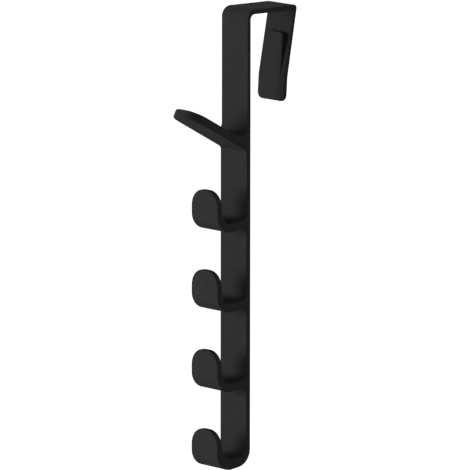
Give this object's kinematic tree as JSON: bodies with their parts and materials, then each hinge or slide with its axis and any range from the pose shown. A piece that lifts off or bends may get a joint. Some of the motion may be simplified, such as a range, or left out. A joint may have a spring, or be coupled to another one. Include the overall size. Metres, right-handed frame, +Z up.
{
  "type": "over-door hook rail",
  "caption": "Moulded plastic rail that hangs over a door's top edge, with a slanted peg above a row of J hooks on a flat strap.",
  "frame": {"origin": "middle of the bar's underside, the face that rests on the door's top edge", "axes": "+Z up along the strap, -Y towards the room on the side the hooks stand out, +X across the strap to the right of someone in the room who faces the door"},
  "size_m": [0.031, 0.1022, 0.3483],
  "materials": {
    "moulded_plastic": "fine satin texture from the mould, near black"
  },
  "bodies": {
    "root": {"hook_rail": "moulded_plastic"}
  },
  "joints": []
}
